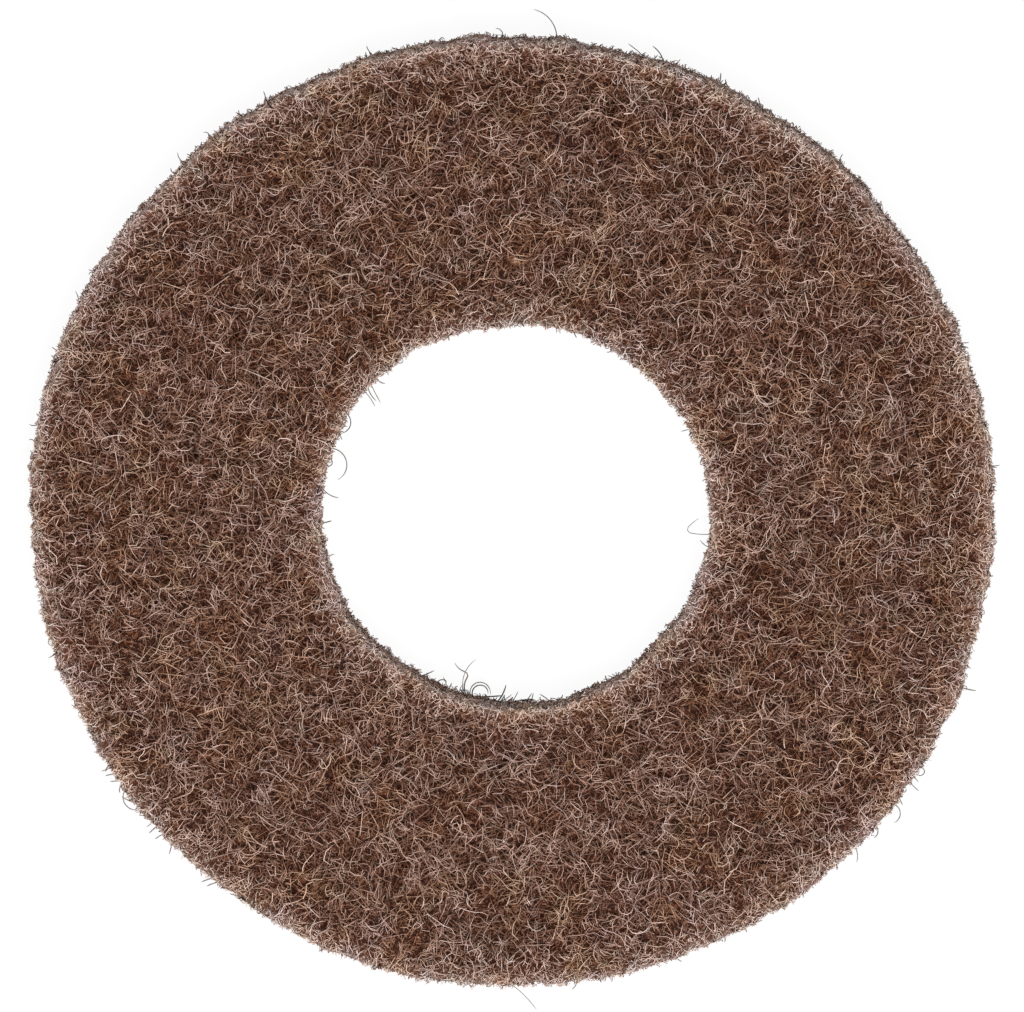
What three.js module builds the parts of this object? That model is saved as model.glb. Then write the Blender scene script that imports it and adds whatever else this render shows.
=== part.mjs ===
// Floor polishing pad: a flat ring cut from a lofty, non-woven web of crimped and resin-bonded fibre.
// Lengths are in millimetres and +Z is up. The pad lies on z = 0, and the origin is the middle of its
// outline on that face.
//
// The real pad is one piece, so the model is one closed solid. Both of its faces are an open web: pits
// lie between crests, and many crests end in small flat lands, which bear on the floor below and on
// the holder of the machine above. Its two walls are cuts, which wander a little from a true circle
// and are frayed by the ends of the fibres. The hole takes the boss of the holder.
import * as THREE from "three";

// Driving dimensions of the ring
const OUTER_DIAMETER = 152;
const HOLE_DIAMETER = 61.5;
const THICKNESS = 8;
// The hole is punched a little off the middle of the outline.
const HOLE_SHIFT_X = 0.53;
const HOLE_SHIFT_Y = 0.02;

// The web of both faces
const WEB_PITCH = 3; // from one point of the web to the next
const WEB_DISORDER = 0.9; // how far a point strays from its even place
const DEEPEST_PIT = 1.5; // below its face
const SHALLOWEST_PIT = 0.5;
const LOWEST_CREST = 0.4; // below its face; half of the crests reach the face

// The cut walls
const EDGE_SETBACK = 0.7; // how far a face stops short of its wall
const EDGE_DROP = 0.9; // how far below its face the wall is at full size
const WALL_BOW = 0.25; // how far the middle of a wall stands out
const CUT_WANDER = 0.35; // slow drift of a cut from its circle
const FRAY = 0.35; // fine raggedness of a cut

const FULL_TURN = 2 * Math.PI;
const outerRadius = OUTER_DIAMETER / 2;
const holeRadius = HOLE_DIAMETER / 2;

// The same chance numbers at every build, from 0 to 1.
function chanceFrom(seed) {
  let state = seed;
  return () => {
    state = (state + 0x6d2b79f5) | 0;
    let mixed = Math.imul(state ^ (state >>> 15), 1 | state);
    mixed = (mixed + Math.imul(mixed ^ (mixed >>> 7), 61 | mixed)) ^ mixed;
    return ((mixed ^ (mixed >>> 14)) >>> 0) / 4294967296;
  };
}

// A chance number from -1 to 1.
const either = (chance) => 2 * chance() - 1;

// Slow drift of a cut, from -1 to 1: waves that close on themselves, some of them long and some short.
function drift(angle, phase) {
  const wavesRound = [2, 3, 5, 9];
  const sum = wavesRound.reduce((total, waves) => total + Math.sin(waves * (angle + phase * waves)), 0);
  return sum / wavesRound.length;
}

// The two cuts. Each gives its radius at an angle, its middle, and which way is out of the material.
const cuts = {
  outline: {
    radius: (angle) => outerRadius + CUT_WANDER * drift(angle, 0.7),
    middle: new THREE.Vector2(0, 0),
    outward: 1,
    seed: 11,
  },
  hole: {
    radius: (angle) => holeRadius + CUT_WANDER * drift(angle, 2.1),
    middle: new THREE.Vector2(HOLE_SHIFT_X, HOLE_SHIFT_Y),
    outward: -1,
    seed: 12,
  },
};

// The points of the whole solid, and the triangles between them.
const points = [];
const triangles = [];

function addPoint(x, y, z, angle) {
  points.push(x, y, z);
  return { index: points.length / 3 - 1, angle };
}

// An even number of steps of about one pitch round a circle, so that pits and crests can alternate.
const stepsRound = (radius) => 2 * Math.max(6, Math.round((FULL_TURN * radius) / WEB_PITCH / 2));

// One row of points round a cut, at a height, set out from the cut's own line.
function wallRow(cut, steps, height, standOut, fray, chance) {
  const row = [];
  for (let step = 0; step < steps; step += 1) {
    const angle = ((step + 0.5) / steps) * FULL_TURN;
    const radius = cut.radius(angle) + cut.outward * standOut + fray * either(chance);
    const x = cut.middle.x + radius * Math.cos(angle);
    const y = cut.middle.y + radius * Math.sin(angle);
    row.push(addPoint(x, y, height, angle));
  }
  return row;
}

// The rows of one wall, from the lower face to the upper one.
function wallRows(cut, nominalRadius) {
  const chance = chanceFrom(cut.seed);
  const steps = stepsRound(nominalRadius);
  const drop = Math.min(EDGE_DROP, THICKNESS / 3);
  return [
    wallRow(cut, steps, 0, -EDGE_SETBACK, FRAY / 2, chance),
    wallRow(cut, steps, drop, 0, FRAY, chance),
    wallRow(cut, steps, THICKNESS / 2, WALL_BOW, FRAY, chance),
    wallRow(cut, steps, THICKNESS - drop, 0, FRAY, chance),
    wallRow(cut, steps, THICKNESS, -EDGE_SETBACK, FRAY / 2, chance),
  ];
}

// The point of a row after the last one is its first again, a full turn on.
function onward(row, place) {
  const point = row[place % row.length];
  return { index: point.index, angle: point.angle + (place < row.length ? 0 : FULL_TURN) };
}

// A strip of triangles between two closed rows that may differ in their number of points. Each
// triangle takes the row forward whose next point comes first. With the first row inside or below the
// second, the triangles face up or out, unless they are flipped.
function stitch(first, second, flipped) {
  let placeInFirst = 0;
  let placeInSecond = 0;
  while (placeInFirst < first.length || placeInSecond < second.length) {
    const a = onward(first, placeInFirst);
    const b = onward(second, placeInSecond);
    const nextInFirst = onward(first, placeInFirst + 1);
    const nextInSecond = onward(second, placeInSecond + 1);
    const firstIsDone = placeInFirst === first.length;
    const secondIsDone = placeInSecond === second.length;
    const firstGoes = secondIsDone || (!firstIsDone && nextInFirst.angle < nextInSecond.angle);
    const c = firstGoes ? nextInFirst : nextInSecond;
    triangles.push(a.index, flipped ? c.index : b.index, flipped ? b.index : c.index);
    if (firstGoes) {
      placeInFirst += 1;
    } else {
      placeInSecond += 1;
    }
  }
}

// One row of the web. A row of crests alone follows each row in which every other point is a pit, and
// its points stand between those of its neighbours.
function webRow(share, hasPits, level, inwards, chance) {
  const { hole, outline } = cuts;
  const meanRadius = THREE.MathUtils.lerp(holeRadius, outerRadius, share);
  const steps = stepsRound(meanRadius);
  const row = [];
  for (let step = 0; step < steps; step += 1) {
    const stray = (WEB_DISORDER * either(chance)) / meanRadius;
    const angle = ((hasPits ? step : step + 0.5) / steps) * FULL_TURN + stray;
    const from = hole.radius(angle) + EDGE_SETBACK;
    const to = outline.radius(angle) - EDGE_SETBACK;
    const radius = THREE.MathUtils.lerp(from, to, share) + (WEB_DISORDER / 2) * either(chance);
    const isPit = hasPits && step % 2 === 0;
    const pitDepth = THREE.MathUtils.lerp(SHALLOWEST_PIT, DEEPEST_PIT, chance());
    const crestDepth = LOWEST_CREST * Math.max(0, either(chance));
    const depth = isPit ? pitDepth : crestDepth;
    const x = hole.middle.x * (1 - share) + radius * Math.cos(angle);
    const y = hole.middle.y * (1 - share) + radius * Math.sin(angle);
    row.push(addPoint(x, y, level + inwards * depth, angle));
  }
  return row;
}

// One face, between the edge rows of the two walls.
function addFace(holeEdge, outlineEdge, level, inwards, seed) {
  const chance = chanceFrom(seed);
  const width = outerRadius - holeRadius - 2 * EDGE_SETBACK;
  const bands = Math.max(2, Math.round(width / WEB_PITCH));
  const rows = [holeEdge];
  for (let band = 1; band < bands; band += 1) {
    rows.push(webRow(band / bands, band % 2 === 1, level, inwards, chance));
  }
  rows.push(outlineEdge);
  const facesDown = inwards > 0;
  for (let band = 0; band < bands; band += 1) {
    stitch(rows[band], rows[band + 1], facesDown);
  }
}

// One wall, between its own rows.
function addWall(rows, outward) {
  const facesIn = outward < 0;
  for (let row = 0; row < rows.length - 1; row += 1) {
    stitch(rows[row], rows[row + 1], !facesIn);
  }
}

const holeRows = wallRows(cuts.hole, holeRadius);
const outlineRows = wallRows(cuts.outline, outerRadius);
const topRow = holeRows.length - 1;
addWall(holeRows, cuts.hole.outward);
addWall(outlineRows, cuts.outline.outward);
addFace(holeRows[0], outlineRows[0], 0, 1, 21);
addFace(holeRows[topRow], outlineRows[topRow], THICKNESS, -1, 22);

const webGeometry = new THREE.BufferGeometry();
webGeometry.setAttribute("position", new THREE.Float32BufferAttribute(points, 3));
webGeometry.setIndex(triangles);
webGeometry.computeBoundingBox();
const middle = webGeometry.boundingBox.getCenter(new THREE.Vector3());
webGeometry.translate(-middle.x, -middle.y, -webGeometry.boundingBox.min.z);
webGeometry.computeVertexNormals();

// Brown nylon fibre in a matt resin
const fibreWeb = new THREE.MeshStandardMaterial({ color: 0x70534a, roughness: 0.9, metalness: 0 });

const polishingPad = new THREE.Mesh(webGeometry, fibreWeb);
polishingPad.name = "polishing_pad";

const floorPad = new THREE.Group();
floorPad.add(polishingPad);

export default floorPad;
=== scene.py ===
"""A floor polishing pad: a flat ring of brown, non-woven fibre web with a round hole.

The web is built as it is made. A dark core stands for the deep tangle that nobody can follow by eye,
and closed fibres of real thickness lie over it: curled ones in layers on both faces, short fuzz along
the rims, tufts of cut ends on the two walls, and strays that were pulled loose. The core's darkness and
the darkening of fibres deep in the web, in its hollows, pockets and pits, are painted shade; the paler
rims are painted light. Lengths are in metres.
"""

import math
from typing import NamedTuple

import bpy
import numpy as np
from bpy.props import FloatProperty, FloatVectorProperty, IntProperty, PointerProperty
from mathutils import Matrix, Vector


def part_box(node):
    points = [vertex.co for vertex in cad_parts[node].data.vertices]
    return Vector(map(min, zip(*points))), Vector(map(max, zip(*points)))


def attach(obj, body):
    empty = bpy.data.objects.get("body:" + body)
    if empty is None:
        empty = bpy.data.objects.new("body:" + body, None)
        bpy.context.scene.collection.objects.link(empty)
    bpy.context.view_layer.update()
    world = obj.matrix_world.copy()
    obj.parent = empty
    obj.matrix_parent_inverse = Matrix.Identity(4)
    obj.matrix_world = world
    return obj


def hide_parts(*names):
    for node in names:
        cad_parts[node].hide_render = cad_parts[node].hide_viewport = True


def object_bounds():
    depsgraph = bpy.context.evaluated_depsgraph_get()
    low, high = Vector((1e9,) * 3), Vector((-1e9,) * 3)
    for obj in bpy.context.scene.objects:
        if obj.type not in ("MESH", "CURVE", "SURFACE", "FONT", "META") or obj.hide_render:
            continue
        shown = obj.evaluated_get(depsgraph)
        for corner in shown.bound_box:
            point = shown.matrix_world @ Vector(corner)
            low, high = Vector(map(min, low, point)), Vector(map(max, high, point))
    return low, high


bl_info = {
    "name": "Floor Polishing Pad",
    "version": (1, 0, 0),
    "blender": (4, 5, 0),
    "location": "3D View > Sidebar > Floor Pad",
    "description": "Builds a non-woven floor polishing pad, fibre by fibre, on a plain studio floor",
    "category": "Add Mesh",
}

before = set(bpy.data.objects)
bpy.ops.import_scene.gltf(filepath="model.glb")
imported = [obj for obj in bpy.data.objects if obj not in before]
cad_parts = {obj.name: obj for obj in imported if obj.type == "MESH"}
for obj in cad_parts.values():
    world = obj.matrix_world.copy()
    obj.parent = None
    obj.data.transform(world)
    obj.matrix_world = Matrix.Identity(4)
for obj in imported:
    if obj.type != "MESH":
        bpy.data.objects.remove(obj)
CAD_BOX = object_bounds()
NODE = "polishing_pad"
BODY = "root"

TAU = 2 * math.pi
MM = 0.001

# Each thing that chance decides has a seed of its own.
SEEDS = {
    "ragged cuts": 5,
    "upper hollows": 7,
    "under hollows": 8,
    "core lumps": 9,
    "upper pockets": 12,
    "under pockets": 13,
    "wall tufts": 17,
    "face fibres": 31,
    "rim fuzz": 36,
    "wall fibres": 41,
    "strays": 51,
}

ROOM_LIGHT = 0.5
FLOOR_WHITENESS = 0.94  # where the floor is seen directly


def chance(name):
    """The random numbers that decide this, the same at every run."""
    return np.random.default_rng(SEEDS[name])


def tint(red, green, blue):
    """A colour from its three numbers on a screen, 0 to 255, as the linear light that Blender uses."""

    def linear(number):
        level = number / 255
        return level / 12.92 if level <= 0.04045 else ((level + 0.055) / 1.055) ** 2.4

    return linear(red), linear(green), linear(blue)


class PadWebSettings(bpy.types.PropertyGroup):
    """The fibres of both faces."""

    fibre_thickness: FloatProperty(
        name="Fibre thickness",
        description="Width of a fibre with its coat of resin",
        default=0.108 * MM,
        unit="LENGTH",
        precision=5,
    )
    fibre_length: FloatProperty(
        name="Fibre length",
        description="Visible length of a fibre before it dives into the web",
        default=3.2 * MM,
        unit="LENGTH",
    )
    curl_radius: FloatProperty(
        name="Curl radius",
        description="Middling radius of a fibre's bends",
        default=2.1 * MM,
        unit="LENGTH",
    )
    loft: FloatProperty(
        name="Loft",
        description="How deep the eye sees into the web before the core",
        default=1.4 * MM,
        unit="LENGTH",
    )
    hollow_depth: FloatProperty(
        name="Hollow depth",
        description="How far the open hollows of the web lie below its crests",
        default=0.65 * MM,
        unit="LENGTH",
    )
    hollow_pitch: FloatProperty(
        name="Hollow pitch",
        description="Middling distance from one hollow to the next",
        default=4.4 * MM,
        unit="LENGTH",
    )
    # The pockets are dark partly from their depth and partly from painted shade on the fibres over them.
    pocket_depth: FloatProperty(
        name="Pocket depth",
        description="How far the small dark pockets lie below the web round them",
        default=0.5 * MM,
        unit="LENGTH",
    )
    pocket_pitch: FloatProperty(
        name="Pocket pitch",
        description="Middling distance from one small pocket to the next",
        default=2.6 * MM,
        unit="LENGTH",
    )
    upper_fibres: IntProperty(
        name="Upper fibres", description="Fibres laid over the upper face", default=57000
    )
    under_fibres: IntProperty(
        name="Under fibres", description="Fibres laid over the under face", default=3400
    )


class PadCutSettings(bpy.types.PropertyGroup):
    """The two cut walls and their rims."""

    fray: FloatProperty(
        name="Fray",
        description="How far the outermost fibre ends stand out of the dense web",
        default=0.18 * MM,
        unit="LENGTH",
        precision=5,
    )
    raggedness: FloatProperty(
        name="Raggedness",
        description="How far the dense web of a cut strays from a smooth line",
        default=0.24 * MM,
        unit="LENGTH",
        precision=5,
    )
    tuft_height: FloatProperty(
        name="Tuft height",
        description="How far the tufts of a cut wall stand out of it or lie back",
        default=0.34 * MM,
        unit="LENGTH",
        precision=5,
    )
    rounding: FloatProperty(
        name="Rounding",
        description="How far the web gives way at the rim of a cut",
        default=0.5 * MM,
        unit="LENGTH",
    )
    # This is also how far the painted rim light reaches over the face.
    fuzz_width: FloatProperty(
        name="Fuzz width",
        description="How far the pale fuzz of a cut reaches over the face",
        default=2.1 * MM,
        unit="LENGTH",
    )
    end_length: FloatProperty(
        name="Cut end length",
        description="Middling length of a cut fibre's end on a wall",
        default=0.5 * MM,
        unit="LENGTH",
        precision=5,
    )
    ends_per_area: FloatProperty(
        name="Ends per area", description="Cut fibre ends on a square centimetre of wall", default=235
    )
    wall_fibres_per_area: FloatProperty(
        name="Wall fibres per area",
        description="Fibres that lie along a wall, on a square centimetre",
        default=62,
    )
    fuzz_per_length: FloatProperty(
        name="Fuzz per length", description="Short fibres on a centimetre of rim", default=85
    )
    hairs_per_length: FloatProperty(
        name="Hairs per length",
        description="Single hairs that stand out of a centimetre of cut",
        default=5.0,
    )


class PadColourSettings(bpy.types.PropertyGroup):
    """The colours of the fibre, from the painted shade deep in the web to the palest fibre, and their
    casts. Each fibre's own tone and the painted light and shade together pick its colour among them.
    """

    # Painted shade: the colour of the darkest gaps deep in the web.
    deep_shade: FloatVectorProperty(
        name="Depths", description="The deepest gaps", subtype="COLOR", default=tint(36, 12, 4)
    )
    # Mostly painted shade: fibres reach this colour as shade is painted on them deep in the web.
    umber: FloatVectorProperty(
        name="Umber", description="Fibres deep in the web", subtype="COLOR", default=tint(95, 49, 27)
    )
    brown: FloatVectorProperty(
        name="Brown", description="Most of the fibres", subtype="COLOR", default=tint(133, 96, 78)
    )
    tan: FloatVectorProperty(
        name="Tan", description="Fibres in the light", subtype="COLOR", default=tint(170, 136, 120)
    )
    # Partly painted light: fibres reach this colour by a pale tone of their own or by the light painted
    # at the rims.
    sand: FloatVectorProperty(
        name="Sand", description="Pale fibres at the rims", subtype="COLOR", default=tint(204, 172, 158)
    )
    straw: FloatVectorProperty(
        name="Straw", description="The palest fibres", subtype="COLOR", default=tint(226, 204, 194)
    )
    rust: FloatVectorProperty(
        name="Rust cast",
        description="What the red, green and blue of a rusty patch are multiplied by",
        default=(1.06, 0.98, 0.78),
        min=0,
        max=2,
    )
    dust: FloatVectorProperty(
        name="Dust cast",
        description="What the red, green and blue of a dusty patch are multiplied by",
        default=(0.95, 0.99, 1.12),
        min=0,
        max=2,
    )
    moss: FloatVectorProperty(
        name="Moss cast",
        description="What the red, green and blue of a mossy patch are multiplied by",
        default=(0.92, 1.01, 0.98),
        min=0,
        max=2,
    )


class StudioSettings(bpy.types.PropertyGroup):
    """The camera, the lamps and the floor."""

    tilt: FloatProperty(
        name="Tilt",
        description="How far the camera leans away from straight above the pad",
        default=math.radians(10.5),
        subtype="ANGLE",
    )
    swing: FloatProperty(
        name="Swing",
        description="Which way it leans: from +Y towards +X",
        default=math.radians(9.4),
        subtype="ANGLE",
    )
    distance: FloatProperty(
        name="Distance", description="From the camera to the pad", default=2.0, unit="LENGTH"
    )
    picture_width: FloatProperty(
        name="Picture width",
        description="Width of what the camera sees at the pad's upper face",
        default=0.16153,
        unit="LENGTH",
    )
    aim_right: FloatProperty(
        name="Aim right",
        description="How far right of the pad's middle the camera aims, in the picture",
        default=0.2 * MM,
        unit="LENGTH",
    )
    aim_up: FloatProperty(
        name="Aim up",
        description="How far above the pad's middle the camera aims, in the picture",
        default=1.83 * MM,
        unit="LENGTH",
    )


class Lumps:
    """A smooth unevenness, from -1 to 1, with lumps of about one pitch."""

    def __init__(self, rng, pitch, waves=28):
        angle = rng.uniform(0, TAU, waves)
        size = TAU / (pitch * rng.uniform(0.65, 1.6, waves))
        self.across = size * np.cos(angle)
        self.along = size * np.sin(angle)
        self.phase = rng.uniform(0, TAU, waves)

    def at(self, x, y):
        total = np.zeros(np.shape(x))
        for across, along, phase in zip(self.across, self.along, self.phase):
            total += np.cos(across * x + along * y + phase)
        return np.clip(total / math.sqrt(2 * len(self.phase)), -1, 1)


class PadForm:
    """The ring's true form, read off the CAD solid: its two cuts and its thickness."""

    def __init__(self):
        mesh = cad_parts[NODE].data
        places = np.empty(len(mesh.vertices) * 3, np.float32)
        mesh.vertices.foreach_get("co", places)
        places = places.reshape(-1, 3).astype(float)
        low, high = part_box(NODE)
        self.thickness = high.z - low.z
        middle_rows = np.abs(places[:, 2] - self.thickness / 2) < self.thickness / 8
        belt = places[middle_rows][:, :2]
        reach = np.hypot(belt[:, 0], belt[:, 1])
        halfway = (reach.min() + reach.max()) / 2
        cuts = bpy.context.scene.pad_cuts
        self.fray = cuts.fray
        self.raggedness = cuts.raggedness
        self.ragged = Lumps(chance("ragged cuts"), 1.25 * MM)
        self.outline_middle = np.zeros(2)
        self.hole_middle = belt[reach < halfway].mean(0)
        self.outline_rim = self._rim(belt[reach > halfway], self.outline_middle)
        self.hole_rim = self._rim(belt[reach < halfway], self.hole_middle)

    @staticmethod
    def _rim(points, middle):
        away = points - middle
        angles = np.arctan2(away[:, 1], away[:, 0])
        order = np.argsort(angles)
        return angles[order], np.hypot(away[:, 0], away[:, 1])[order]

    def cut(self, name):
        """The middle of a cut, its rim, and which way is out of the material."""
        if name == "outline":
            return self.outline_middle, self.outline_rim, 1
        return self.hole_middle, self.hole_rim, -1

    def radius(self, name, angle):
        """The radius of the dense web at a cut, at each angle about the cut's own middle."""
        _, (angles, radii), outward = self.cut(name)
        true = np.interp(angle, angles, radii, period=TAU)
        ragged = self.raggedness * self.ragged.at(true * np.cos(angle), true * np.sin(angle))
        return true + outward * (ragged - self.fray)

    def girth(self, name):
        """The way round a cut."""
        return TAU * self.cut(name)[1][1].mean()

    def inside(self, name, x, y):
        """How far each place lies inside the material from a cut."""
        middle, _, outward = self.cut(name)
        away_x, away_y = x - middle[0], y - middle[1]
        reach = np.hypot(away_x, away_y)
        return outward * (self.radius(name, np.arctan2(away_y, away_x)) - reach)

    def margin(self, x, y):
        """How far each place lies inside the material from the nearer cut."""
        return np.minimum(self.inside("outline", x, y), self.inside("hole", x, y))

    def scatter(self, rng, count):
        """Places spread evenly over a face."""
        least, most = self.hole_rim[1].mean(), self.outline_rim[1].mean()
        reach = np.sqrt(rng.uniform(least**2, most**2, count))
        angle = rng.uniform(0, TAU, count)
        return reach * np.cos(angle), reach * np.sin(angle)


def rounded_off(margin, rounding):
    """How far the rounded rim has dropped where it is this far inside the cut."""
    share = np.clip(1 - margin / rounding, 0, 1)
    return rounding * (1 - np.sqrt(1 - share**2))


def unit(vectors):
    return vectors / np.maximum(np.linalg.norm(vectors, axis=-1, keepdims=True), 1e-12)


class Bundle:
    """Fibres on their way into one mesh. Each is a closed tube with three sides."""

    SIDES = 3
    # The depth carries painted shade and the pale carries painted rim light.
    WORN = ("tone", "depth", "pale", "grey")

    def __init__(self):
        self.batches = []

    def add(self, paths, radius, tone, depth=0.0, pale=0.0, grey=0.0):
        """Adds fibres by their middle lines, of shape (fibres, stations, 3).

        The tone is a fibre's own lightness, the depth paints shade on it into the web, and the pale
        paints light on it near a rim; it is grey on a wall. All run from 0 to about 1, for each fibre or
        for each station.
        """
        shape = paths.shape[:2]
        values = {"radius": radius, "tone": tone, "depth": depth, "pale": pale, "grey": grey}
        batch = {key: np.broadcast_to(value, shape) for key, value in values.items()}
        self.batches.append({"paths": paths, **batch})

    def _skin(self, rng, batch):
        """The corners of each tube, of shape (fibres, stations, sides, 3)."""
        paths = batch["paths"]
        along = unit(np.gradient(paths, axis=1))
        chord = paths[:, -1] - paths[:, 0]
        steady = np.cross(chord, rng.normal(size=chord.shape))[:, None, :]
        side = unit(steady - (steady * along).sum(-1, keepdims=True) * along)
        other = np.cross(along, side)
        turn = TAU * np.arange(self.SIDES) / self.SIDES
        ring = np.cos(turn)[:, None] * side[:, :, None] + np.sin(turn)[:, None] * other[:, :, None]
        return paths[:, :, None] + batch["radius"][:, :, None, None] * ring

    def _pattern(self, stations):
        """One fibre's faces: its corners by number, the face sizes, and their places on a map."""
        corners, sizes, places = [], [], []
        rows = stations  # the last row of the map holds the two ends
        for station in range(stations - 1):
            low, high = station / rows, (station + 1) / rows
            for side in range(self.SIDES):
                following = (side + 1) % self.SIDES
                here, there = station * self.SIDES, (station + 1) * self.SIDES
                corners += [here + side, here + following, there + following, there + side]
                left, right = side / self.SIDES, (side + 1) / self.SIDES
                places += [(left, low), (right, low), (right, high), (left, high)]
                sizes.append(4)
        tip = (stations - 1) * self.SIDES
        corners += [0, 2, 1, tip, tip + 1, tip + 2]
        low = (stations - 1) / rows
        places += [(0, low), (0, 1), (0.5, low), (0.5, low), (1, low), (1, 1)]
        sizes += [3, 3]
        return np.array(corners), np.array(sizes), np.array(places)

    def mesh(self, name, rng):
        """All fibres as one mesh, each with a cell of its own on the map."""
        fibres = sum(len(batch["paths"]) for batch in self.batches)
        cells = math.ceil(math.sqrt(fibres))
        edge = 0.06  # the share of a cell that stays empty on each side
        places, corners, sizes, spots = [], [], [], []
        worn = {key: [] for key in self.WORN}
        first_corner = 0
        first_fibre = 0
        for batch in self.batches:
            count, stations = batch["paths"].shape[:2]
            pattern, faces, map_places = self._pattern(stations)
            each = stations * self.SIDES
            places.append(self._skin(rng, batch).reshape(-1, 3))
            starts = first_corner + each * np.arange(count)
            corners.append((starts[:, None] + pattern).ravel())
            sizes.append(np.tile(faces, count))
            number = first_fibre + np.arange(count)
            cell = np.stack([number % cells, number // cells], -1)[:, None, :]
            spots.append(((cell + edge + (1 - 2 * edge) * map_places) / cells).reshape(-1, 2))
            for key, values in worn.items():
                values.append(np.repeat(batch[key].ravel(), self.SIDES))
            first_corner += each * count
            first_fibre += count
        mesh = mesh_from(name, np.concatenate(places), np.concatenate(corners), np.concatenate(sizes))
        layer = mesh.uv_layers.new(name="OFBake")
        layer.data.foreach_set("uv", np.concatenate(spots).ravel().astype(np.float32))
        for key, values in worn.items():
            wear(mesh, key, np.concatenate(values))
        return mesh


def wear(mesh, name, values):
    """Gives each corner of a mesh its number under a name that the finishes read."""
    attribute = mesh.attributes.new(name, "FLOAT", "POINT")
    attribute.data.foreach_set("value", np.ascontiguousarray(values, np.float32))


def mesh_from(name, places, corners, sizes):
    """A smooth mesh from its places, its faces' corners in one row, and the faces' sizes."""
    mesh = bpy.data.meshes.new(name)
    mesh.vertices.add(len(places))
    mesh.vertices.foreach_set("co", places.ravel().astype(np.float32))
    mesh.loops.add(len(corners))
    mesh.loops.foreach_set("vertex_index", corners.astype(np.int32))
    mesh.polygons.add(len(sizes))
    starts = np.concatenate([[0], np.cumsum(sizes)[:-1]])
    mesh.polygons.foreach_set("loop_start", starts.astype(np.int32))
    mesh.polygons.foreach_set("use_smooth", np.ones(len(sizes), bool))
    mesh.update(calc_edges=True)
    if mesh.validate():
        raise RuntimeError(f"{name} came out with faulty faces")
    return mesh


def loose_curves(rng, length, curl_radius, samples):
    """Flat curves from the origin, one for each length, that bend as crimped fibre does."""
    count = len(length)
    share = np.linspace(0, 1, samples)
    heading = rng.uniform(0, TAU, count)
    bend = rng.choice([-1, 1], count) * length / (curl_radius * rng.lognormal(0, 0.55, count))
    bend = np.clip(bend, -5, 5)
    sway = np.clip(rng.normal(0, 0.4, count) * length / curl_radius, -1, 1)
    phase = rng.uniform(0, TAU, count)
    turned = bend[:, None] * share + sway[:, None] * np.sin(TAU * 1.2 * share + phase[:, None])
    angle = heading[:, None] + turned
    step = (length / (samples - 1))[:, None]
    x = np.cumsum(step * np.cos(angle), 1) - (step * np.cos(angle))[:, :1]
    y = np.cumsum(step * np.sin(angle), 1) - (step * np.sin(angle))[:, :1]
    return x, y


def resampled(values, last, stations):
    """Values along each curve, up to its last good sample, at a few even stations."""
    spot = last[:, None] * np.linspace(0, 1, stations)
    low = np.floor(spot).astype(int)
    high = np.minimum(low + 1, values.shape[1] - 1)
    share = spot - low
    rows = np.arange(len(values))[:, None]
    return values[rows, low] * (1 - share) + values[rows, high] * share


def last_inside(kept):
    """The number of the last sample before a curve first leaves the material."""
    return np.where(kept.all(1), kept.shape[1] - 1, np.argmin(kept, 1) - 1)


class Layer(NamedTuple):
    """One layer of the fibres on a face. Depths are shares of the loft."""

    share: float
    stations: int
    length: float
    straightness: float
    shallowest: float
    deepest: float


UPPER_LAYERS = {
    "top_fibres": Layer(0.025, 8, 1.5, 1.0, 0.0, 0.15),
    "upper_middle_fibres": Layer(0.160, 4, 1.05, 1.5, 0.03, 0.3),
    "lower_middle_fibres": Layer(0.4075, 2, 0.75, 3.0, 0.1, 0.6),
    "deep_fibres": Layer(0.4075, 2, 0.85, 3.0, 0.4, 1.0),
}
UNDER_LAYERS = {"under_fibres": Layer(1.0, 3, 1.4, 2.0, 0.0, 0.7)}


def gathered_places(rng, form, count):
    """Places spread over a face, of which some are gathered at the knots of the web."""
    knots = 900
    x, y = form.scatter(rng, count)
    knot_x, knot_y = form.scatter(rng, knots)
    knot = rng.integers(0, knots, count)
    knotted = rng.random(count) < 0.27
    x = np.where(knotted, knot_x[knot] + rng.normal(0, 0.25 * MM, count), x)
    y = np.where(knotted, knot_y[knot] + rng.normal(0, 0.25 * MM, count), y)
    return x, y


def layer_paths(rng, face, layer, count):
    """The fibres of a layer, flat on a face: the places of their stations. They are short at a rim."""
    form, web = face.form, face.web
    samples = 25
    asked = int(count * 1.5)  # more than are laid, because some fall away below
    x, y = gathered_places(rng, form, asked)
    length = layer.length * web.fibre_length * rng.lognormal(0, 0.4, asked)
    length *= 1 - 0.6 * np.sqrt(face.pale(x, y))
    away_x, away_y = loose_curves(rng, length, layer.straightness * web.curl_radius, samples)
    x = x[:, None] + away_x
    y = y[:, None] + away_y
    last = last_inside(form.margin(x, y) > web.fibre_thickness / 2)
    kept = last * length / samples > web.fibre_length / 5
    kept &= rng.random(asked) > 0.85 * face.pocket(x[:, samples // 2], y[:, samples // 2])
    x = resampled(x[kept], last[kept], layer.stations)
    y = resampled(y[kept], last[kept], layer.stations)
    return x[:count], y[:count]


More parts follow.
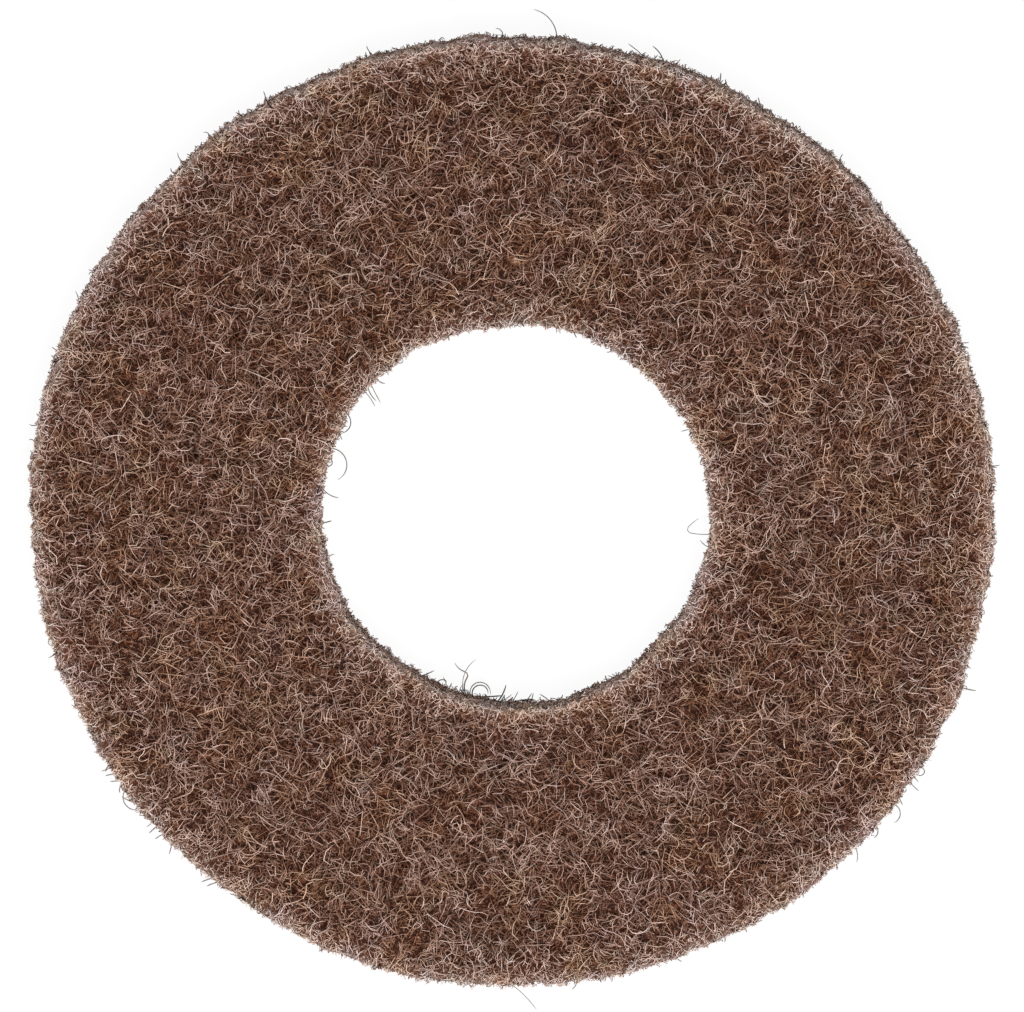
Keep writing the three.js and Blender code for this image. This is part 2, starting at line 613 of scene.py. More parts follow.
class Face:
    """One face of the pad: how far the web lies below it, and how much paler its rims are painted, as
    painted light.
    """

    def __init__(self, form, web, cuts, upper):
        self.form, self.web, self.cuts, self.upper = form, web, cuts, upper
        side = "upper" if upper else "under"
        self.hollows = Lumps(chance(f"{side} hollows"), web.hollow_pitch)
        self.pockets = Lumps(chance(f"{side} pockets"), web.pocket_pitch)

    def opened(self, x, y):
        """How open the web is, from a little below 0 on a crest to 1 in a hollow."""
        return np.maximum(self.hollows.at(x, y), -0.3)

    def pocket(self, x, y):
        """1 in the small pockets that few fibres cross, and 0 between them."""
        return np.clip(2.5 * self.pockets.at(x, y) - 1, 0, 1) * (1 - self.pale(x, y))

    def below(self, x, y):
        """How far the web lies below the plane of its face."""
        web = self.web
        return web.hollow_depth * self.opened(x, y) + web.pocket_depth * self.pocket(x, y)

    # Painted light: how much paler the web is painted near a cut, for the light that reaches the rims. It
    # also shortens the fibres and closes the pockets there.
    def pale(self, x, y):
        return np.exp(-np.maximum(self.form.margin(x, y), 0) / self.cuts.fuzz_width)

    def paths(self, x, y, depth, radius):
        """The middle lines of fibres that lie at a share of the loft below the face."""
        rim_drop = rounded_off(self.form.margin(x, y), self.cuts.rounding)
        below = rim_drop + self.below(x, y) + depth * self.web.loft
        if self.upper:
            return np.stack([x, y, self.form.thickness - below], -1)
        return np.stack([x, y, np.maximum(below, radius)], -1)


def lay_face(rng, face, layers, count):
    """Lays the fibres of one face, layer by layer."""
    web = face.web
    for name, layer in layers.items():
        x, y = layer_paths(rng, face, layer, int(layer.share * count))
        fibres = len(x)
        share = np.linspace(-1, 1, layer.stations)
        start = rng.uniform(layer.shallowest, layer.deepest, fibres)[:, None]
        dive = rng.uniform(0.05, 0.7, fibres)[:, None]
        lean = rng.normal(0, 0.13, fibres)[:, None]
        weave = rng.normal(0, 0.2 / layer.stations, x.shape)
        depth = np.maximum(start + dive * share**2 + lean * share + weave, -0.08)
        radius = web.fibre_thickness / 2 * rng.lognormal(0, 0.2, fibres)[:, None]
        tone = rng.random(fibres)[:, None]
        # Painted light and shade: pale paints the rims lighter, and depth, hollows and pockets paint
        # shade, less of it near the rims.
        pale = face.pale(x, y)
        painted_hollow_shade = 0.22 * face.opened(x, y) + 0.4 * face.pocket(x, y)
        painted_shade = (depth + painted_hollow_shade) * (1 - 0.5 * pale)
        bundle = Bundle()
        bundle.add(face.paths(x, y, depth, radius), radius, tone, painted_shade, pale)
        add_fibres(name, bundle, rng)


def rim_fuzz(rng, face, name):
    """A bundle of the short fibres that lie on a face along one cut, made pale by painted rim light."""
    form, web, cuts = face.form, face.web, face.cuts
    middle, _, outward = form.cut(name)
    samples, stations = 9, 3
    count = int(cuts.fuzz_per_length * form.girth(name) / (10 * MM))
    angle = rng.uniform(0, TAU, count)
    margin = rng.exponential(0.75 * cuts.fuzz_width, count)
    reach = form.radius(name, angle) - outward * margin
    length = 0.95 * MM * rng.lognormal(0, 0.35, count)
    away_x, away_y = loose_curves(rng, length, 0.8 * MM, samples)
    x = (middle[0] + reach * np.cos(angle))[:, None] + away_x
    y = (middle[1] + reach * np.sin(angle))[:, None] + away_y
    last = last_inside(form.margin(x, y) > -0.15 * MM)
    kept = last > samples / 3
    x = resampled(x[kept], last[kept], stations)
    y = resampled(y[kept], last[kept], stations)
    fibres = len(x)
    lift = rng.uniform(-0.05, 0.45, fibres)[:, None]
    depth = lift + 0.2 * np.linspace(-1, 1, stations) ** 2
    radius = web.fibre_thickness / 2 * rng.lognormal(0, 0.2, fibres)[:, None]
    bundle = Bundle()
    paths = face.paths(x, y, depth, radius)
    # The depth paints shade on each fuzz fibre and the pale paints rim light on it.
    bundle.add(paths, radius, rng.random(fibres)[:, None], depth, face.pale(x, y), 0.12)
    return bundle


class Signal:
    """The output of a node. Sums of signals and numbers add Math nodes to the same material."""

    def __init__(self, sheet, socket):
        self.sheet = sheet
        self.socket = socket

    def __add__(self, other):
        return self.sheet.maths("ADD", self, other)

    def __radd__(self, other):
        return self.sheet.maths("ADD", other, self)

    def __sub__(self, other):
        return self.sheet.maths("SUBTRACT", self, other)

    def __rsub__(self, other):
        return self.sheet.maths("SUBTRACT", other, self)

    def __mul__(self, other):
        return self.sheet.maths("MULTIPLY", self, other)

    def __rmul__(self, other):
        return self.sheet.maths("MULTIPLY", other, self)

    def __truediv__(self, other):
        return self.sheet.maths("DIVIDE", self, other)

    def __rtruediv__(self, other):
        return self.sheet.maths("DIVIDE", other, self)

    def __abs__(self):
        return self.sheet.maths("ABSOLUTE", self)

    def held(self):
        """The signal, held between 0 and 1."""
        return self.sheet.signal("ShaderNodeClamp", {}, {"Value": self})

    def larger(self, other):
        return self.sheet.maths("MAXIMUM", self, other)


class Sheet:
    """The node sheet of a material or of the world."""

    def __init__(self, owner):
        owner.use_nodes = True
        self.owner = owner
        self.tree = owner.node_tree
        self.tree.nodes.clear()

    @classmethod
    def of_material(cls, name):
        return cls(bpy.data.materials.new(name))

    def node(self, kind, settings, sockets):
        """A node of this kind, with its settings made before its sockets get values or links."""
        node = self.tree.nodes.new(kind)
        for name, value in settings.items():
            if name == "stops":
                self._set_stops(node.color_ramp, value)
            else:
                setattr(node, name, value)
        for name, value in sockets.items():
            if isinstance(value, Signal):
                self.tree.links.new(value.socket, node.inputs[name])
            else:
                node.inputs[name].default_value = value
        return node

    @staticmethod
    def _set_stops(ramp, stops):
        while len(ramp.elements) < len(stops):
            ramp.elements.new(1)
        for element, (position, colour) in zip(ramp.elements, stops):
            element.position = position
            element.color = (*colour, 1)

    def signal(self, kind, settings, sockets, output=0):
        """A node's output. The first one is taken if none is named."""
        return Signal(self, self.node(kind, settings, sockets).outputs[output])

    def maths(self, operation, *values):
        return self.signal("ShaderNodeMath", {"operation": operation}, dict(enumerate(values)))

    def mixed(self, factor, first, second):
        """Two colours mixed."""
        settings = {"data_type": "RGBA", "clamp_factor": True}
        return self.signal("ShaderNodeMix", settings, {0: factor, 6: first, 7: second}, 2)

    def cast(self, colour, multipliers):
        """A colour with its red, green and blue multiplied."""
        sockets = {0: colour, 1: tuple(multipliers)}
        return self.signal("ShaderNodeVectorMath", {"operation": "MULTIPLY"}, sockets)

    def greyed(self, colour, share, saturation):
        """A colour that keeps only this much of its saturation, where the share is 1."""
        sockets = {"Color": colour, "Fac": share, "Saturation": saturation}
        return self.signal("ShaderNodeHueSaturation", {}, sockets)

    def place(self):
        return self.signal("ShaderNodeTexCoord", {}, {}, "Object")

    def worn(self, name):
        """What each corner of the mesh carries under this name."""
        return self.signal("ShaderNodeAttribute", {"attribute_name": name}, {}, "Fac")

    def noise(self, place, size, detail=2.0, seed=0.0):
        """Noise from 0 to 1 with lumps of about this size, in metres."""
        sockets = {"Vector": place, "W": seed, "Scale": 1 / size, "Detail": detail}
        return self.signal("ShaderNodeTexNoise", {"noise_dimensions": "4D"}, sockets)

    def hairlines(self, place, size, width, seed):
        """Thin lines that wander and close on themselves: 1 on a line and 0 beside it."""
        away = abs(self.noise(place, size, 0.6, seed) - 0.5)
        return (1 - away / width).held()

    def bumped(self, height, strength, distance):
        """The surface normal with a bump."""
        sockets = {"Height": height, "Strength": strength, "Distance": distance}
        return self.signal("ShaderNodeBump", {}, sockets)

    def finish(self, sockets):
        """Ends a material's sheet with a matt surface of these sockets."""
        matt = {"Specular IOR Level": 0.12}
        return self.end(self.signal("ShaderNodeBsdfPrincipled", {}, {**matt, **sockets}))

    def end(self, shader, output="ShaderNodeOutputMaterial"):
        self.node(output, {}, {"Surface": shader})
        return self.owner


def web_colour(sheet, place, colours, light):
    """The colour of the web at this lightness, with patches of other casts."""
    shades = (colours.deep_shade, colours.umber, colours.brown, colours.tan, colours.sand, colours.straw)
    stops = [(number / (len(shades) - 1), shade) for number, shade in enumerate(shades)]
    colour = sheet.signal("ShaderNodeValToRGB", {"stops": stops}, {"Fac": light}, "Color")
    patches = ((colours.rust, 5.0, 8.0), (colours.dust, 6.0, 3.0), (colours.moss, 4.2, 5.0))
    for cast, size, seed in patches:
        share = (sheet.noise(place, size * MM, 0, seed) * 5 - 2.3).held() * 0.55
        colour = sheet.mixed(share, colour, sheet.cast(colour, cast))
    return colour


def fibre_finish(colours):
    """Nylon fibre in its resin. Each fibre has its own tone; painted shade darkens it deeper in the web,
    and painted light makes it paler near a rim.
    """
    sheet = Sheet.of_material("brown resin-bonded fibre")
    place = sheet.place()
    tone, depth, pale, grey = (sheet.worn(name) for name in Bundle.WORN)
    grain = sheet.noise(place, 0.6 * MM, 2, 1.0)
    beads = sheet.noise(place, 0.25 * MM, 1, 2.0)
    # Painted shade darkens a fibre by its depth, and painted light makes it paler near a rim; the tone
    # varies it fibre by fibre, and the grain and beads vary it along each fibre.
    light = 0.55 + tone * 0.38 - depth * 0.47 + pale * 0.43
    light = light + (grain - 0.5) * 0.5 + (beads - 0.5) * 0.5
    colour = web_colour(sheet, place, colours, light)
    colour = sheet.greyed(colour, grey, 0.3)
    normal = sheet.bumped(beads, 0.5, 0.05 * MM)
    roughness = 0.5 + grain * 0.3
    return sheet.finish({"Base Color": colour, "Roughness": roughness, "Normal": normal})


def core_finish(colours):
    """The deep web: dark with painted shade, with the ghosts of more fibres crossing in it, and paler at
    the walls with painted light.
    """
    sheet = Sheet.of_material("deep fibre web")
    place = sheet.place()
    pale, grey = sheet.worn("pale"), sheet.worn("grey")
    lines = sheet.hairlines(place, 1.1 * MM, 0.05, 1.0)
    lines = lines.larger(sheet.hairlines(place, 0.7 * MM, 0.07, 5.0))
    patches = sheet.noise(place, 1.1 * MM, 3, 4.0)
    specks = sheet.noise(place, 0.4 * MM, 2, 6.0)
    # Painted shade: the core starts at the colour of the deepest shade, the ghost lines lift it, and
    # painted light makes it paler near the walls.
    light = lines * (patches * 0.9) + pale * (specks * 0.9)
    colour = sheet.greyed(web_colour(sheet, place, colours, light), grey, 0.7)
    normal = sheet.bumped(lines + specks * pale, 1.0, 0.3 * MM)
    return sheet.finish({"Base Color": colour, "Roughness": 0.75, "Normal": normal})


def finish_named(name, maker):
    """The finish of this name, made once and worn by all pieces that need it."""
    return bpy.data.materials.get(name) or maker(bpy.context.scene.pad_colours)


def add_piece(name, mesh, material):
    mesh.materials.append(material)
    piece = bpy.data.objects.new(name, mesh)
    bpy.context.scene.collection.objects.link(piece)
    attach(piece, BODY)
    return piece


def add_fibres(name, bundle, rng):
    return add_piece(name, bundle.mesh(name, rng), finish_named("brown resin-bonded fibre", fibre_finish))


class PAD_OT_core(bpy.types.Operator):
    """Adds the deep web, a lumpy ring that the fibres lie on, dark with painted shade"""

    bl_idname = "floor_pad.core"
    bl_label = "Web Core"

    def execute(self, context):
        web, cuts = context.scene.pad_web, context.scene.pad_cuts
        form = PadForm()
        across, up, round_steps = 30, 5, 340
        angle = np.linspace(0, TAU, round_steps, endpoint=False)
        outward = np.stack([np.cos(angle), np.sin(angle)], -1)
        inset = 0.35 * MM
        near = form.hole_middle + outward * (form.radius("hole", angle) + inset)[:, None]
        far = outward * (form.radius("outline", angle) - inset)[:, None]
        over = 0.5 - 0.5 * np.cos(np.pi * np.linspace(0, 1, across)) ** 3
        rise = np.linspace(0, 1, up + 2)[1:-1]
        share = np.concatenate([over, np.ones(up), over[::-1], np.zeros(up)])
        level = np.concatenate([np.ones(across), rise[::-1], np.zeros(across), rise])
        flat = near[:, None] + (far - near)[:, None] * share[None, :, None]
        x, y = flat[..., 0], flat[..., 1]
        margin = form.margin(x, y)
        # Painted light: the core is painted paler near the walls, and it also rises closer to the faces
        # there.
        pale = np.exp(-(margin - inset) / (0.5 * cuts.fuzz_width))
        lumps = Lumps(chance("core lumps"), 1.9 * MM).at(x, y)
        drop = web.loft * (1 - 0.65 * pale) + 0.2 * MM * lumps
        upper, under = (Face(form, web, cuts, is_upper) for is_upper in (True, False))
        top = form.thickness - drop - upper.below(x, y)
        bottom = drop + under.below(x, y)
        z = bottom + (top - bottom) * level
        places = np.stack([x, y, z], -1).reshape(-1, 3)
        section = len(share)
        here = np.arange(round_steps)[:, None] * section + np.arange(section)
        there = np.roll(here, -1, 0)
        quads = np.stack([here, there, np.roll(there, -1, 1), np.roll(here, -1, 1)], -1)
        sizes = np.full(quads.shape[0] * quads.shape[1], 4)
        mesh = mesh_from("web_core", places, quads.reshape(-1), sizes)
        wear(mesh, "pale", pale.ravel())
        wear(mesh, "grey", np.clip(1.5 * pale - 0.5, 0, 1).ravel())
        core = add_piece("web_core", mesh, finish_named("deep fibre web", core_finish))
        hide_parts(NODE)
        return {"FINISHED"}


class PAD_OT_faces(bpy.types.Operator):
    """Lays the curled fibres over both faces of the pad"""

    bl_idname = "floor_pad.faces"
    bl_label = "Face Fibres"

    def execute(self, context):
        web, cuts = context.scene.pad_web, context.scene.pad_cuts
        rng = chance("face fibres")
        form = PadForm()
        lay_face(rng, Face(form, web, cuts, True), UPPER_LAYERS, web.upper_fibres)
        lay_face(rng, Face(form, web, cuts, False), UNDER_LAYERS, web.under_fibres)
        return {"FINISHED"}


class PAD_OT_rims(bpy.types.Operator):
    """Lays the short fuzz of both cuts along the rims of the upper face, made pale by painted rim light
    """

    bl_idname = "floor_pad.rims"
    bl_label = "Rim Fuzz"

    def execute(self, context):
        rng = chance("rim fuzz")
        face = Face(PadForm(), context.scene.pad_web, context.scene.pad_cuts, True)
        add_fibres("outer_rim_fuzz", rim_fuzz(rng, face, "outline"), rng)
        add_fibres("hole_rim_fuzz", rim_fuzz(rng, face, "hole"), rng)
        return {"FINISHED"}


class Wall:
    """One cut wall of the pad, rolled out flat: how far round it, how high and how far out of it."""

    def __init__(self, form, web, cuts, name):
        self.form, self.web, self.cuts, self.name = form, web, cuts, name
        self.middle, _, self.outward = form.cut(name)
        self.girth = form.girth(name)
        self.area = self.girth * form.thickness
        self.tufts = Lumps(chance("wall tufts"), 1.5 * MM)

    def count(self, per_square_centimetre):
        return int(per_square_centimetre * self.area / (10 * MM) ** 2)

    def places(self, run, height, proud):
        """Points on the wall. Tufts of the web stand out of it, and its edges give way."""
        angle = TAU * run / self.girth
        to_face = np.minimum(height, self.form.thickness - height)
        tuft = self.cuts.tuft_height * self.tufts.at(run, height)
        back = rounded_off(to_face, self.cuts.rounding)
        radius = self.form.radius(self.name, angle) + self.outward * (proud + tuft - back)
        x = self.middle[0] + radius * np.cos(angle)
        y = self.middle[1] + radius * np.sin(angle)
        return np.stack([x, y, height], -1)

    def painted_pit_shade(self, run, height):
        """How much painted shade darkens the wall, a little everywhere and most where its tufts lie back.
        """
        return 0.1 + 2.4 * np.clip(-self.tufts.at(run, height) - 0.05, 0, 1)

    def lying(self, rng, bundle):
        """Adds the fibres that lie along the wall, most of them level."""
        web = self.web
        count = self.count(self.cuts.wall_fibres_per_area)
        samples, stations = 19, 4
        edge = web.fibre_thickness
        top = self.form.thickness - edge
        length = 0.5 * web.fibre_length * rng.lognormal(0, 0.4, count)
        away_run, away_up = loose_curves(rng, length, 0.6 * web.curl_radius, samples)
        run = rng.uniform(0, self.girth, count)[:, None] + away_run
        height = rng.uniform(edge, top, count)[:, None] + 0.6 * away_up
        last = last_inside((height > edge) & (height < top))
        kept = last > samples / 5
        run = resampled(run[kept], last[kept], stations)
        height = resampled(height[kept], last[kept], stations)
        fibres = len(run)
        share = np.linspace(-1, 1, stations)
        start = rng.uniform(-0.1, 0.5, fibres)[:, None]
        depth = start + rng.uniform(0.1, 0.4, fibres)[:, None] * share**2
        radius = web.fibre_thickness / 2 * rng.lognormal(0, 0.2, fibres)[:, None]
        paths = self.places(run, height, -0.7 * MM * depth)
        # Painted shade: fibres deeper behind the wall and in its pits are darker; their pale of 0.2 is
        # painted light.
        depth = depth + self.painted_pit_shade(run, height)
        bundle.add(paths, radius, rng.random(fibres)[:, None], depth, 0.2, 0.12)

    def ends(self, rng, bundle):
        """Adds the cut ends, which stand in tufts and point all ways out of the wall."""
        count = self.count(self.cuts.ends_per_area)
        edge = self.web.fibre_thickness
        top = self.form.thickness - edge
        run = rng.uniform(0, self.girth, count)
        height = rng.uniform(edge, top, count)
        length = self.cuts.end_length * rng.lognormal(0, 0.35, count)
        lean_run = rng.normal(0, 0.8, count) * length
        lean_up = rng.normal(0, 0.8, count) * length
        tip = rng.normal(0, 0.1 * MM, count)
        foot = self.places(run, height, tip - length)
        end = self.places(run + lean_run, np.clip(height + lean_up, edge, top), tip)
        radius = self.web.fibre_thickness / 2 * rng.lognormal(0.3, 0.25, count)[:, None]
        radius = np.minimum(radius, edge)
        # Painted shade: each end is dark at its foot in the wall, light at its tip and darker in the
        # pits; its pale of 0.25 is painted light.
        depth = np.array([1.1, 0.0]) + self.painted_pit_shade(run, height)[:, None]
        bundle.add(np.stack([foot, end], 1), radius, rng.random(count)[:, None], depth, 0.25, 0.2)


class PAD_OT_walls(bpy.types.Operator):
    """Sets the cut fibres into the outer wall and the hole's wall"""

    bl_idname = "floor_pad.walls"
    bl_label = "Cut Walls"

    def execute(self, context):
        rng = chance("wall fibres")
        form = PadForm()
        for piece, name in (("outer_wall_fibres", "outline"), ("hole_wall_fibres", "hole")):
            wall = Wall(form, context.scene.pad_web, context.scene.pad_cuts, name)
            bundle = Bundle()
            wall.lying(rng, bundle)
            wall.ends(rng, bundle)
            add_fibres(piece, bundle, rng)
        return {"FINISHED"}


class Stray(NamedTuple):
    """A fibre that was pulled out of a cut, or a short hair.

    It leaves the cut at an angle about the cut's middle, from +X towards +Y, and at a share of the
    thickness. It leans from straight out of the wall, turns by so much on its way, and rises a little
    or falls. Some have a kink, at a share of their length. Angles are in degrees and lengths in
    millimetres.
    """

    angle: float
    lean: float
    length: float
    turn: float
    height: float = 0.6
    rise: float = 0.0
    thickness: float = 0.18
    kink: float = 0.0
    kinked_at: float = 0.6


STRAYS = {
    "outline": (
        Stray(84.7, 8, 5.9, 70, 0.2, 0.5),
        Stray(74.6, 62, 2.4, 10, 0.2),
        Stray(71.8, 35, 2.7, 38, 0.2, 0.2, 0.22),
        Stray(64.5, 16, 1.5, 8, 0.2, 0.3, 0.24),
        Stray(52.3, -72, 6.6, -66, 0.3, 0.3, 0.2),
        Stray(120.6, -25, 1.3, 20, 0.2),
        Stray(106.9, 30, 1.4, -30, 0.2),
        Stray(212.4, 10, 1.1, 40, 0.9, 0.0, 0.26),
        Stray(213.5, -20, 1.1, 0, 0.9, 0.0, 0.24),
        Stray(214.6, -30, 1.3, 0, 0.9, 0.0, 0.2),
        Stray(215.3, 20, 1.0, 60, 0.9, 0.0, 0.24),
        Stray(216.1, 25, 4.3, 120, 0.9, 0.0, 0.2),
        Stray(217.4, -60, 1.5, -10, 0.9, 0.0, 0.24),
        Stray(221.8, -4, 1.7, 10, 0.9, 0.0, 0.22),
        Stray(223.0, -20, 1.3, 20, 0.85, 0.0, 0.22),
        Stray(224.8, 29, 1.3, 0, 0.85, 0.0, 0.2),
        Stray(229.3, 50, 1.1, 0, 0.85, 0.0, 0.22),
        Stray(230.9, -35, 1.5, 10, 0.85, 0.0, 0.22),
        Stray(231.7, -38, 1.5, 15, 0.85, 0.0, 0.22),
        Stray(270.4, 52, 5.2, -18, 0.85, -0.4, 0.14),
        Stray(315.8, -18, 2.3, -45, 0.9),
        Stray(319.4, -20, 1.9, -85, 0.9, 0.0, 0.2),
        Stray(322.9, 10, 3.4, -125, 0.9, 0.2, 0.2),
        Stray(323.8, -30, 1.0, 0, 0.9, 0.0, 0.22),
        Stray(326.1, -15, 1.7, 8, 0.9),
        Stray(326.9, -15, 0.9, 0, 0.9),
        Stray(328.3, 35, 2.6, -230, 0.85),
        Stray(339.1, 4, 2.3, 8, 0.8, 0.0, 0.22),
        Stray(6.2, -20, 1.5, 30, 0.6),
    ),
    "hole": (
        Stray(-6.0, 12, 6.5, -35, 0.5, 0.3, 0.15, -115, 0.62),
        Stray(4.2, -44, 3.5, -130, 0.6, 0.0, 0.13),
        Stray(11.2, -34, 1.9, -140, 0.6, 0.0, 0.24),
        Stray(17.5, 20, 1.0, 60, 0.6, 0.0, 0.24),
        Stray(137.2, -24, 3.2, 8, 0.9, 0.1),
        Stray(138.8, -32, 2.2, 30, 0.85),
        Stray(139.9, -5, 2.8, -20, 0.9, 0.1),
        Stray(135.0, -5, 1.6, 40, 0.85, 0.0, 0.22),
        Stray(148.6, -8, 3.9, -125, 0.8, 0.0, 0.22),
        Stray(160.2, 12, 6.4, -140, 0.6, 0.2, 0.2),
        Stray(163.5, -10, 2.1, -190, 0.6),
        Stray(173.1, -48, 2.9, 48, 0.5),
        Stray(183.3, 5, 1.7, 10, 0.5, 0.0, 0.24),
        Stray(241.2, -45, 1.8, 15, 0.25, 0.0, 0.2),
        Stray(245.8, -4, 1.7, -110, 0.25, 0.0, 0.22),
        Stray(248.6, 20, 1.5, 40, 0.25),
        Stray(254.2, 32, 6.2, -66, 0.2, 1.3, 0.14),
        Stray(254.3, 72, 1.9, -40, 0.2, 0.5, 0.14, -60, 0.5),
        Stray(254.8, 42, 6.1, -124, 0.2, 1.0, 0.26, 126, 0.58),
        Stray(256.0, 22, 5.4, -190, 0.2, 0.3, 0.18),
        Stray(256.9, 34, 4.3, -195, 0.25, 0.2, 0.24),
        Stray(261.0, -80, 2.5, 8, 0.2, 0.3, 0.26),
        Stray(264.8, -35, 2.9, 28, 0.2, 0.4, 0.28),
        Stray(265.4, -26, 1.4, 0, 0.2, 0.4, 0.22),
        Stray(266.2, -55, 1.7, 10, 0.2, 0.2, 0.15),
        Stray(269.3, -30, 1.5, 5, 0.2, 0.0, 0.15),
        Stray(270.9, -80, 2.3, -10, 0.2, 0.0, 0.3),
        Stray(274.6, -21, 1.2, 5, 0.2),
        Stray(279.6, 41, 1.7, 10, 0.2),
    ),
}


def random_hairs(rng, cuts, form, name):
    """Single short hairs all round a cut."""
    count = int(cuts.hairs_per_length * form.girth(name) / (10 * MM))
    hairs = []
    for _ in range(count):
        length = 0.7 * rng.lognormal(0, 0.45)
        turn = rng.normal(0, 100)
        height = rng.uniform(0.05, 0.95)
        hairs.append(Stray(rng.uniform(0, 360), rng.normal(0, 38), length, turn, height))
    return hairs


def stray_paths(form, name, strays, stations):
    """The middle lines of strays out of one cut. Each starts a little way inside the web."""
    middle, _, outward = form.cut(name)
    columns = {key: np.array([getattr(stray, key) for stray in strays]) for key in Stray._fields}
    angle = np.radians(columns["angle"])
    share = np.linspace(0, 1, stations - 1)
    heading = angle + np.radians(columns["lean"]) + (0 if outward > 0 else np.pi)
    kinked = np.clip((share - columns["kinked_at"][:, None]) / 0.2 + 0.5, 0, 1)
    turns = columns["turn"][:, None] * share + columns["kink"][:, None] * kinked
    headings = heading[:, None] + np.radians(turns)
    step = columns["length"] * MM / (stations - 2)
    hidden = 0.7 * MM
    reach = form.radius(name, angle)
    start_x = middle[0] + reach * np.cos(angle) - hidden * np.cos(heading)
    start_y = middle[1] + reach * np.sin(angle) - hidden * np.sin(heading)
    steps = np.column_stack([np.full(len(strays), hidden), np.repeat(step[:, None], stations - 2, 1)])
    zeros = np.zeros((len(strays), 1))
    x = start_x[:, None] + np.column_stack([zeros, np.cumsum(steps * np.cos(headings), 1)])
    y = start_y[:, None] + np.column_stack([zeros, np.cumsum(steps * np.sin(headings), 1)])
    height = columns["height"] * form.thickness
    risen = columns["rise"][:, None] * MM * np.linspace(0, 1, stations) ** 2
    return np.stack([x, y, height[:, None] + risen], -1), columns["thickness"] / 2 * MM


class PAD_OT_strays(bpy.types.Operator):
    """Pulls loose fibres and short hairs out of both cuts"""

    bl_idname = "floor_pad.strays"
    bl_label = "Stray Fibres"

    def execute(self, context):
        rng = chance("strays")
        form = PadForm()
        for piece, name in (("outer_strays", "outline"), ("hole_strays", "hole")):
            hairs = random_hairs(rng, context.scene.pad_cuts, form, name)
            bundle = Bundle()
            for strays, stations in ((STRAYS[name], 14), (hairs, 5)):
                paths, radius = stray_paths(form, name, strays, stations)
                taper = np.minimum(1, 0.45 + 2.5 * np.linspace(1, 0, stations))
                # Painted shade: strays get a low tone, painted shade and no saturation, so they read dark
                # grey as fibres backlit against the white floor.
                tone = rng.uniform(0, 0.35, len(strays))[:, None]
                bundle.add(paths, radius[:, None] * taper, tone, 0.6, 0.0, 1.0)
            add_fibres(piece, bundle, rng)
        return {"FINISHED"}


def add_lamp(name, place, aim, size, power):
    """A square soft lamp that faces its aim."""
    lamp = bpy.data.lights.new(name, "AREA")
    lamp.size = size
    lamp.energy = power
    holder = bpy.data.objects.new(name, lamp)
    holder.location = place
    holder.rotation_euler = (Vector(aim) - Vector(place)).to_track_quat("-Z", "Y").to_euler()
    bpy.context.scene.collection.objects.link(holder)
    return holder


def seen_directly(sheet):
    """1 for the rays of the camera, of mirrors and of glass, and 0 for the light that falls."""
    path = sheet.node("ShaderNodeLightPath", {}, {})
    camera, glossy, transmission = (
        Signal(sheet, path.outputs[name])
        for name in ("Is Camera Ray", "Is Glossy Ray", "Is Transmission Ray")
    )
    return camera.larger(glossy).larger(transmission)


def floor_finish(whiteness):
    """A pale floor that keeps the pad's shadow, mostly white where it is seen directly."""
    sheet = Sheet.of_material("white studio floor")
    matt = sheet.signal("ShaderNodeBsdfDiffuse", {}, {"Color": (0.82, 0.82, 0.82, 1)})
    white = sheet.signal("ShaderNodeEmission", {}, {"Color": (1, 1, 1, 1), "Strength": 1.0})
    factor = seen_directly(sheet) * whiteness
    return sheet.end(sheet.signal("ShaderNodeMixShader", {}, {0: factor, 1: matt, 2: white}))


def light_world(strength):
    """Even white light from all round, and plain white behind everything."""
    world = bpy.data.worlds.new("soft white room")
    sheet = Sheet(world)
    level = seen_directly(sheet) * (1 - strength) + strength
    room = sheet.signal("ShaderNodeBackground", {}, {"Color": (1, 1, 1, 1), "Strength": level})
    bpy.context.scene.world = sheet.end(room, "ShaderNodeOutputWorld")


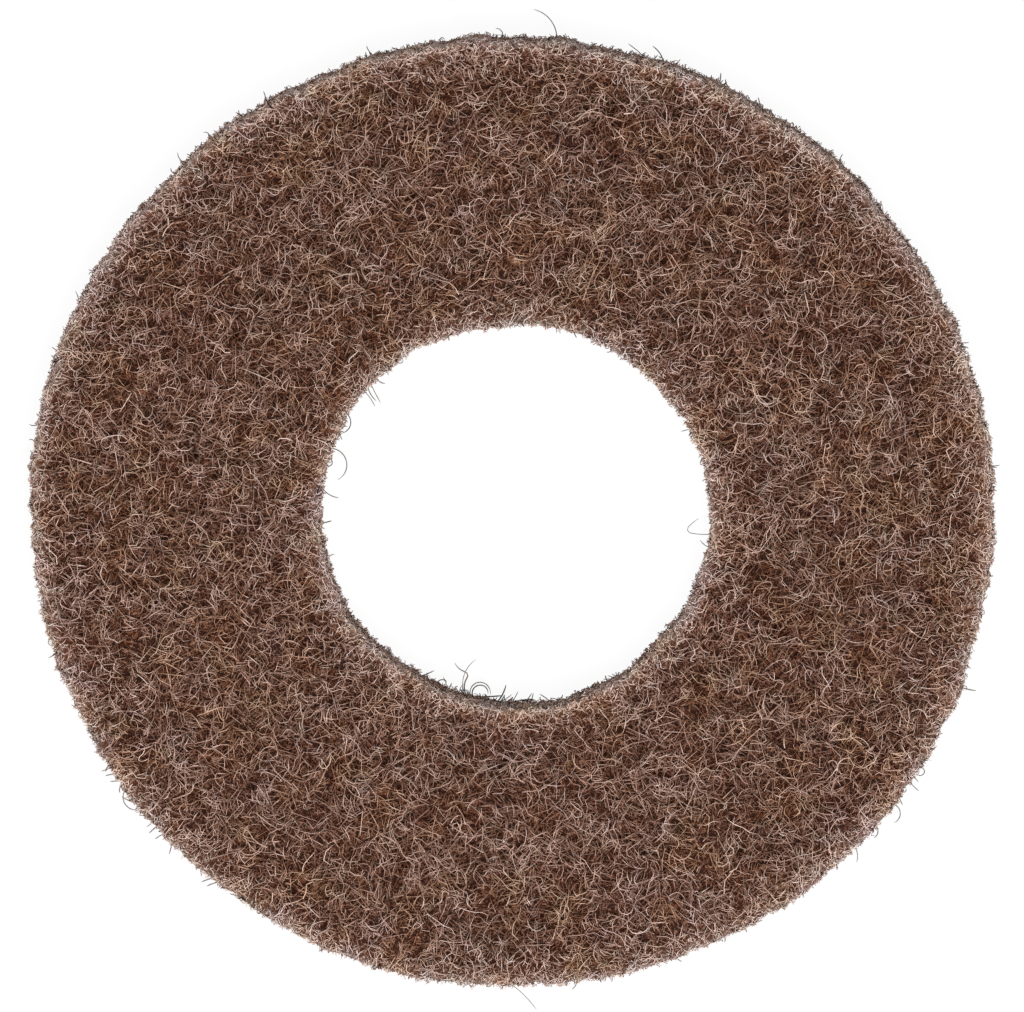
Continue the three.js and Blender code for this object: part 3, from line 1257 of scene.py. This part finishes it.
class PAD_OT_studio(bpy.types.Operator):
    """Adds the white floor, the soft lamps and the camera above the pad"""

    bl_idname = "floor_pad.studio"
    bl_label = "Studio"

    def execute(self, context):
        studio = context.scene.pad_studio
        low, high = CAD_BOX
        middle = Vector(((low.x + high.x) / 2, (low.y + high.y) / 2, high.z))
        self.add_camera(context, studio, middle)
        self.add_floor()
        add_lamp("overhead softbox", (0.2, -0.4, 1.3), middle, 0.6, 19.5)
        add_lamp("side softbox", (-1.1, -0.5, 0.7), middle, 0.6, 7)
        light_world(ROOM_LIGHT)
        view = context.scene.view_settings
        view.view_transform = "Standard"
        return {"FINISHED"}

    def add_camera(self, context, studio, middle):
        back = Vector(
            (
                math.sin(studio.tilt) * math.sin(studio.swing),
                math.sin(studio.tilt) * math.cos(studio.swing),
                math.cos(studio.tilt),
            )
        )
        up = (Vector((0, 1, 0)) - back * back.y).normalized()
        right = up.cross(back)
        data = bpy.data.cameras.new("photo camera")
        data.sensor_width = 36
        data.lens = data.sensor_width * studio.distance / studio.picture_width
        camera = bpy.data.objects.new("photo camera", data)
        turn = Matrix((right, up, back)).transposed().to_4x4()
        aim = middle + right * studio.aim_right + up * studio.aim_up
        camera.matrix_world = Matrix.Translation(aim + back * studio.distance) @ turn
        context.scene.collection.objects.link(camera)
        context.scene.camera = camera

    def add_floor(self):
        reach = 4.0
        corners = [(-reach, -reach, 0), (reach, -reach, 0), (reach, reach, 0), (-reach, reach, 0)]
        mesh = bpy.data.meshes.new("studio floor")
        mesh.from_pydata(corners, [], [(0, 1, 2, 3)])
        mesh.materials.append(floor_finish(FLOOR_WHITENESS))
        floor = bpy.data.objects.new("studio_floor", mesh)
        bpy.context.scene.collection.objects.link(floor)


class PAD_PT_sidebar(bpy.types.Panel):
    """Lists the pad's pieces, in the order they are made"""

    bl_idname = "PAD_PT_sidebar"
    bl_label = "Floor Polishing Pad"
    bl_space_type = "VIEW_3D"
    bl_region_type = "UI"
    bl_category = "Floor Pad"

    def draw(self, context):
        for operator in OPERATORS:
            self.layout.operator(operator.bl_idname)
        for group in ("pad_web", "pad_cuts", "pad_colours", "pad_studio"):
            settings = getattr(context.scene, group)
            for name in settings.__annotations__:
                self.layout.prop(settings, name)


OPERATORS = (PAD_OT_core, PAD_OT_faces, PAD_OT_rims, PAD_OT_walls, PAD_OT_strays, PAD_OT_studio)
SETTINGS = (PadWebSettings, PadCutSettings, PadColourSettings, StudioSettings)


def register():
    for kind in (*SETTINGS, *OPERATORS, PAD_PT_sidebar):
        bpy.utils.register_class(kind)
    bpy.types.Scene.pad_web = PointerProperty(type=PadWebSettings)
    bpy.types.Scene.pad_cuts = PointerProperty(type=PadCutSettings)
    bpy.types.Scene.pad_colours = PointerProperty(type=PadColourSettings)
    bpy.types.Scene.pad_studio = PointerProperty(type=StudioSettings)


def unregister():
    del bpy.types.Scene.pad_studio
    del bpy.types.Scene.pad_colours
    del bpy.types.Scene.pad_cuts
    del bpy.types.Scene.pad_web
    for kind in reversed((*SETTINGS, *OPERATORS, PAD_PT_sidebar)):
        bpy.utils.unregister_class(kind)


def main():
    """Builds the pad and its studio."""
    register()
    bpy.ops.floor_pad.core()
    bpy.ops.floor_pad.faces()
    bpy.ops.floor_pad.rims()
    bpy.ops.floor_pad.walls()
    bpy.ops.floor_pad.strays()
    bpy.ops.floor_pad.studio()


if __name__ == "__main__":
    main()
